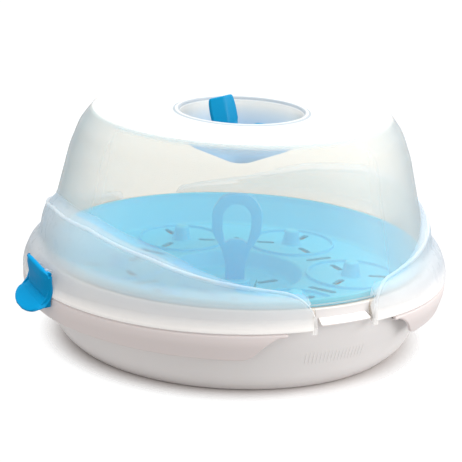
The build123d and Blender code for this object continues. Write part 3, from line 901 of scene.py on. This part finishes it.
# lift handle: a ring on a stem, edges well rounded
handle_out = path([
    (6.5, 31.1), (6.5, 46.0, 20.0), (9.2, 56.0, 18.0), (16.4, 68.0, 14.0), (16.6, 83.0, 12.0), (10.0, 94.4, 11.0),
    (-10.0, 94.4, 11.0), (-16.6, 83.0, 12.0), (-16.4, 68.0, 14.0), (-9.2, 56.0, 18.0), (-6.5, 46.0, 20.0), (-6.5, 31.1),
], True, 5.0, 3.0)
handle_hole = path([
    (7.4, 60.2, 0.8), (9.6, 71.0, 12.0), (9.2, 81.5, 7.0), (4.6, 87.6, 5.5), (-4.6, 87.6, 5.5), (-9.2, 81.5, 7.0),
    (-9.6, 71.0, 12.0), (-7.4, 60.2, 0.8), (-4.0, 63.2, 3.5), (4.0, 63.2, 3.5),
], True, 5.0, 2.0)
handle = prism("handle", handle_out, -2.5, 2.5, "y")
handle = joined(handle, prism("hh", handle_hole, -6.0, 6.0, "y"), "DIFFERENCE")
smooth(handle, 40.0, 0.01)
rounded_edges(handle, 1.5, 4, 50)
moved(handle, TURN)
smooth(handle, 40.0, 0.004)
finish_piece(handle, "rack_lift_loop", "rack", ["rack_lift_handle"], HANDLE)

# ======================================================================
# side latches
# ======================================================================

clip_line = path([(142.6, 65.6), (145.5, 65.3, 2.2), (145.75, 60.0, 6.0), (144.3, 52.0, 30.0), (144.9, 48.0, 6.0), (155.8, 38.7)], False, 3.0, 0.6)


def resample(line, n):
    d = np.concatenate([[0], np.cumsum(np.hypot(*np.diff(line, axis=0).T))])
    s = np.linspace(0, d[-1], n)
    return np.stack([np.interp(s, d, line[:, 0]), np.interp(s, d, line[:, 1])], 1), s / d[-1]


LEAN = 0.155        # the plate's cross lines slope a little
spine, share = resample(clip_line, 110)
tangent = np.gradient(spine, axis=0)
tangent /= np.linalg.norm(tangent, axis=1)[:, None]
normal = np.stack([-tangent[:, 1], tangent[:, 0]], 1)
if normal[60, 0] < 0:
    normal = -normal
half_width = np.interp(share, [0.0, 0.02, 0.06, 0.2, 0.42, 0.55, 0.60, 0.68, 0.76, 0.845, 0.91, 0.955, 0.985, 1.0],
                       [15.6, 16.5, 17.0, 17.4, 16.9, 16.1, 16.1, 16.8, 16.4, 14.7, 12.2, 9.2, 6.0, 3.4])
kern = np.ones(5) / 5
half_width = np.convolve(np.pad(half_width, 2, mode="edge"), kern, "valid")
thick = np.interp(share, [0.0, 0.06, 0.5, 0.62, 0.9, 1.0], [1.6, 1.9, 1.9, 2.0, 1.8, 1.5])
loops = []
for k in range(len(spine)):
    w, th = half_width[k], thick[k]
    c, nn = spine[k], normal[k]
    # a crease across the plate where the lip begins, a fainter one below it
    crease = 0.55 * math.exp(-((share[k] - 0.565) / 0.016) ** 2) + 0.12 * math.exp(-((share[k] - 0.70) / 0.02) ** 2)
    # the first and last loops close the plate's ends softly
    e = 1.0
    if share[k] < 0.03:
        e = math.sqrt(max(1 - ((0.03 - share[k]) / 0.03) ** 2, 0.02))
    if share[k] > 0.97:
        e = math.sqrt(max(1 - ((share[k] - 0.97) / 0.03) ** 2, 0.02))
    bend = 1.0 if share[k] < 0.55 else max(0.0, 1.0 - (share[k] - 0.55) / 0.25)
    loop = []
    m = 30
    for j in range(m + 1):
        y = -w + 2 * w * j / m
        q = abs(y) / w
        sag = -(y * y) / 270.0 * (0.35 + 0.65 * bend) - 0.5 * q ** 3 * (1 - bend) - 2.3 * bend * (max(0.0, abs(y) - 9.0) / 8.0) ** 1.6
        edge = 0.8 * (1 - math.sqrt(max(1 - max(0.0, (q - (1 - 0.8 / w)) / (0.8 / w)) ** 2, 0.0)))
        off = sag - edge - crease * (1 - q ** 8)
        loop.append((c[0] + nn[0] * off, y, c[1] + nn[1] * off, 0))
    for j in range(m + 1):
        y = w - 2 * w * j / m
        q = abs(y) / w
        sag = -(y * y) / 270.0 * (0.35 + 0.65 * bend) - 0.5 * q ** 3 * (1 - bend) - 2.3 * bend * (max(0.0, abs(y) - 9.0) / 8.0) ** 1.6
        edge = 0.8 * (1 - math.sqrt(max(1 - max(0.0, (q - (1 - 0.8 / w)) / (0.8 / w)) ** 2, 0.0)))
        off = sag - th + edge * 0.8
        loop.append((c[0] + nn[0] * off, y * 0.995, c[1] + nn[1] * off, 0))
    mid = np.mean([(p[0], p[2]) for p in loop], axis=0)
    loop = [(mid[0] + (p[0] - mid[0]) * e, p[1] * (0.96 + 0.04 * e), mid[1] + (p[2] - mid[1]) * e) for p in loop]
    loops.append([(x, y, z - LEAN * y) for x, y, z in loop])
clip = tube("clip", loops)
# the plate's sides wrap back towards the lid
side_wall = path([(140.6, 42.3, 0.6), (144.8, 42.0), (147.0, 44.6), (143.6, 48.6), (142.4, 52.6), (141.2, 55.0, 1.0), (140.6, 50.0, 2.0)], True)
for y0 in (-15.4, 13.8):
    cheek = prism("cheek", [(u, v - LEAN * (y0 + 0.8)) for u, v in side_wall], y0, y0 + 1.6, "y")
    rounded_edges(cheek, 0.3, 2, 40)
    clip = joined(clip, cheek)
# two knees hold the hinge bar
cheek_side = path([(142.0, 53.0), (143.1, 53.4), (143.4, 60.0), (142.9, 61.8, 1.3), (140.0, 61.8, 1.3), (139.2, 60.4, 1.0), (140.3, 58.0, 1.0)], True)
for y0 in (-13.4, 11.1):
    cheek = prism("cheek", cheek_side, y0, y0 + 2.3, "y")
    rounded_edges(cheek, 0.3, 2, 40)
    clip = joined(clip, cheek)
pin = prism("pin", [(140.7 + 1.2 * math.cos(a), 60.6 + 1.2 * math.sin(a)) for a in np.linspace(0, 2 * math.pi, 33)[:-1]], -12, 12, "y")
clip = joined(clip, pin)
hook = prism("hook", path([(143.2, 50.0), (143.6, 46.0), (142.35, 43.6, 0.3), (142.35, 42.4, 0.3), (144.2, 42.2, 0.5), (146.0, 44.0), (144.6, 47.6)], True), -6, 6, "y")
rounded_edges(hook, 0.25, 2, 40)
clip = joined(clip, hook)
smooth(clip, 38.0, 0.004)
clip_l = moved(copied(clip, "clip_l"), Matrix.Rotation(math.pi, 4, "Z"))
finish_piece(clip, "latch_right", "clip_right", ["clip_right"], BLUE)
finish_piece(clip_l, "latch_left", "clip_left", ["clip_left"], BLUE)

# ======================================================================
# tongs: one moulding, a bow with a blade on each end
# ======================================================================

T_TH = 2.6
spl = math.radians(28.0)
HU, HV = 7.5 + 9.0 * math.sin(spl), 9.0 * math.cos(spl)
ARM = 25.0
tilt = Matrix.Translation((-1.4 * MM, 1.5 * MM, 122.7 * MM)) @ Matrix.Rotation(math.radians(-7.0), 4, "Y") @ Matrix.Rotation(math.radians(12.0), 4, "X")

mid_pts = path([(0.0, 0.0), (7.5, 0.0, 6.0), (HU, HV), (HU + (ARM) * math.sin(spl), HV + ARM * math.cos(spl))], False, 4.0, 0.8)
line, sh = resample(mid_pts, 90)
total = float(np.sum(np.hypot(*np.diff(mid_pts, axis=0).T)))
arc = sh * total
hinge_at = total - ARM
tan = np.gradient(line, axis=0)
tan /= np.linalg.norm(tan, axis=1)[:, None]
nor = np.stack([-tan[:, 1], tan[:, 0]], 1)  # towards the inside of the bow


def fold(u, w, amount):
    """How far the blade is folded back beside its ridge, which runs a little off the middle."""
    x = (u - 0.06) * w
    fall = 0.5 * max(0.0, math.sqrt(x * x + 0.25) - 0.5) if x > 0 else 0.06 * -x
    return (1.3 - fall) * amount * 0.8


def half_tongs(name, sgn):
    loops = []
    for k in range(len(line)):
        d = arc[k] - hinge_at
        w = float(np.interp(d, [-30, 0, 3, 9, 15, 19, 21.5, 23.5, 24.5, 25.0], [6.0, 6.0, 8.4, 10.7, 10.9, 10.7, 10.4, 9.9, 9.3, 8.5]))
        ridge = max(0.0, min(1.0, (d - 0.5) / 6.0))
        e = 1.0
        if d > 24.1:
            e = math.sqrt(max(1 - ((d - 24.1) / 0.9) ** 2, 0.03))
        loop = []
        m = 20
        for j in range(m + 1):
            u = -1 + 2 * j / m
            x = u * (w - 0.0)
            q = abs(u)
            rnd = 1.0 - math.sqrt(max(1 - max(0.0, (q - (1 - 1.1 / w)) / (1.1 / w)) ** 2, 0.0))
            out = -(T_TH / 2) * (1 - rnd)
            loop.append((x, out, fold(u, w, ridge)))
        for j in range(m + 1):
            u = 1 - 2 * j / m
            x = u * (w - 0.0) * 0.996
            q = abs(u)
            rnd = 1.0 - math.sqrt(max(1 - max(0.0, (q - (1 - 1.1 / w)) / (1.1 / w)) ** 2, 0.0))
            out = (T_TH / 2) * (1 - rnd)
            loop.append((x, out, fold(u, w, ridge)))
        c, nn = line[k], nor[k]
        pts = []
        for x, o, f in loop:
            u, v = c[0] + nn[0] * (o * e + f), c[1] + nn[1] * (o * e + f)
            pts.append((x * (0.95 + 0.05 * e), sgn * u, v))
        loops.append(pts)
    ob = tube(name, loops)
    moved(ob, tilt)
    return ob


half_b = half_tongs("half_b", 1)
half_f = half_tongs("half_f", -1)
for ob in (half_b, half_f):
    smooth(ob, 40.0, 0.002)


def tongs_point(v, w):
    return tilt @ Vector((0, v * MM, w * MM))


for ob, name, sgn, body, nodes in ((half_b, "tongs_blade_back", 1, "tongs_back", ["tongs_bow", "tongs_arm_back"]), (half_f, "tongs_blade_front", -1, "tongs_front", ["tongs_arm_front"])):
    ob.name = name
    ob.data.name = name
    ob.data.materials.clear()
    ob.data.materials.append(TONGS_BLUE)
    a = tongs_point(sgn * (HU - 3.2 * math.sin(spl)), HV - 3.2 * math.cos(spl))
    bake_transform(ob)
    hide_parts(*nodes)

# ======================================================================
# studio: pale floor, soft light, camera
# ======================================================================


def floor_material():
    """Pale sheet with a painted contact shadow near the bowl; further out it fades to see-through onto the white
    backdrop.
    """
    t = Tree("studio_floor")
    d = t.new("ShaderNodeBsdfDiffuse")
    c = t.blend(t.ramp(t.noise(3.0, 3.0), 0.3, 0.7, 0.0, 1.0), (0.93, 0.895, 0.88), (0.925, 0.89, 0.875))
    clear = t.new("ShaderNodeBsdfTransparent")
    ln = t.new("ShaderNodeVectorMath", operation="LENGTH")
    t.link(t.coord.outputs["Object"], ln.inputs[0])
    # painted shadow: the floor's colour is darker within about 0.11 to 0.13 m of the middle
    c = t.blend(t.ramp(ln.outputs["Value"], 0.108, 0.13, 0.0, 1.0), (0.60, 0.565, 0.55), c)
    t.link(c, d.inputs["Color"])
    mix = t.new("ShaderNodeMixShader")
    fade = t.new("ShaderNodeMapRange", interpolation_type="SMOOTHSTEP")
    for k, v in zip(("From Min", "From Max", "To Min", "To Max"), (0.107, 0.134, 0.0, 0.985)):
        fade.inputs[k].default_value = v
    t.link(ln.outputs["Value"], fade.inputs["Value"])
    t.link(fade.outputs["Result"], mix.inputs["Fac"])
    t.link(d.outputs[0], mix.inputs[1])
    t.link(clear.outputs[0], mix.inputs[2])
    t.link(mix.outputs[0], t.out.inputs["Surface"])
    return t.mat


R = 3.0
floor = make("floor", [(-R / MM, -R / MM, 0), (R / MM, -R / MM, 0), (R / MM, R / MM, 0), (-R / MM, R / MM, 0)], [(0, 1, 2, 3)])
floor.data.materials.append(floor_material())

world = bpy.data.worlds.new("studio")
scene.world = world
world.use_nodes = True
wt = world.node_tree
wt.nodes.clear()
wo = wt.nodes.new("ShaderNodeOutputWorld")
soft = wt.nodes.new("ShaderNodeBackground")
soft.inputs["Color"].default_value = (1.0, 0.985, 0.97, 1.0)
soft.inputs["Strength"].default_value = 0.66
seen = wt.nodes.new("ShaderNodeBackground")
seen.inputs["Color"].default_value = (1.0, 1.0, 1.0, 1.0)
seen.inputs["Strength"].default_value = 1.05
lp = wt.nodes.new("ShaderNodeLightPath")
mx = wt.nodes.new("ShaderNodeMixShader")
wt.links.new(lp.outputs["Is Camera Ray"], mx.inputs["Fac"])
wt.links.new(soft.outputs[0], mx.inputs[1])
wt.links.new(seen.outputs[0], mx.inputs[2])
wt.links.new(mx.outputs[0], wo.inputs["Surface"])


def area(name, loc, aim, size, power, colour=(1, 1, 1)):
    d = bpy.data.lights.new(name, "AREA")
    d.shape = "RECTANGLE"
    d.size, d.size_y = size
    d.energy = power
    d.color = colour
    o = bpy.data.objects.new(name, d)
    scene.collection.objects.link(o)
    o.location = loc
    o.rotation_mode = "QUATERNION"
    o.rotation_quaternion = (Vector(aim) - Vector(loc)).to_track_quat("-Z", "Y")
    return o


area("top_light", (0.15, -0.1, 1.9), (0, 0, 0.0), (1.6, 1.6), 56.0)
area("right_light", (0.95, -0.95, 0.4), (0, 0, 0.06), (0.8, 0.7), 9.5)
area("left_light", (-1.2, -0.6, 0.3), (0, 0, 0.05), (0.8, 0.6), 1.5)
area("edge_light", (1.2, -0.4, 0.65), (0, 0, 0.14), (0.2, 0.5), 2.0)

cam_data = bpy.data.cameras.new("camera")
cam = bpy.data.objects.new("camera", cam_data)
scene.collection.objects.link(cam)
AZ, EL, ROLL, DIST = math.radians(-31.0), math.radians(16.53), math.radians(2.52), 1.0708
target = Vector((0, 0, 0.070))
back = Vector((math.sin(AZ) * math.cos(EL), -math.cos(AZ) * math.cos(EL), math.sin(EL)))
cam.location = target + back * DIST
cam.rotation_mode = "QUATERNION"
# the photograph is tilted a little: the picture turns clockwise, so the camera turns the other way
cam.rotation_quaternion = (-back).to_track_quat("-Z", "Y") @ Matrix.Rotation(ROLL, 4, "Z").to_quaternion()
cam_data.sensor_width = 36.0
cam_data.lens = 1614.0 / 462.0 * 36.0
cam_data.clip_start, cam_data.clip_end = 0.05, 20.0
# the middle of the object isn't quite in the middle of the picture
cam_data.shift_x = -(236.76 - 231.0) / 462.0
cam_data.shift_y = (229.22 - 231.0) / 462.0
scene.camera = cam

scene.view_settings.view_transform = "Standard"
scene.view_settings.look = "None"
scene.view_settings.exposure = 0.0
scene.view_settings.gamma = 1.0
scene.cycles.max_bounces = 16
scene.cycles.diffuse_bounces = 6
scene.cycles.glossy_bounces = 4
scene.cycles.transmission_bounces = 12
scene.cycles.transparent_max_bounces = 24
